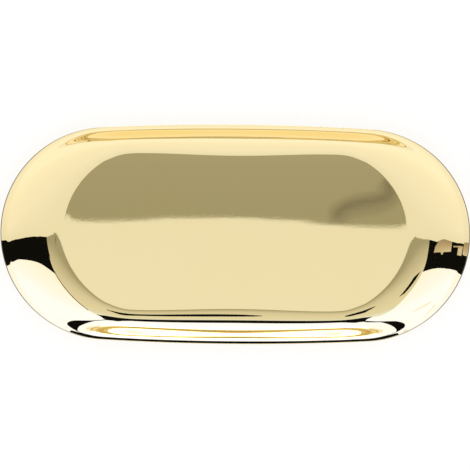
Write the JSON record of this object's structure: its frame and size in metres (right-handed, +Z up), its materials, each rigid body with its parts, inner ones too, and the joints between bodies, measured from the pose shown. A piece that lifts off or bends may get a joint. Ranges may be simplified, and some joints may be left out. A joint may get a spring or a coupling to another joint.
{
  "type": "oval tray",
  "caption": "Shallow oval tray pressed from one steel sheet: flat floor drawn in at the waist, S-shaped wall with long end ramps, rolled-out lip, mirror gold finish.",
  "frame": {"origin": "under the middle of the floor, on the plane the tray stands on", "axes": "+X along the tray, +Y across it, +Z up out of the tray"},
  "size_m": [0.18, 0.0846, 0.009],
  "materials": {
    "gold_finish_steel": "stainless steel sheet, mirror polished, with a thin gold-coloured coat"
  },
  "bodies": {
    "root": {"tray": "gold_finish_steel"}
  },
  "joints": []
}
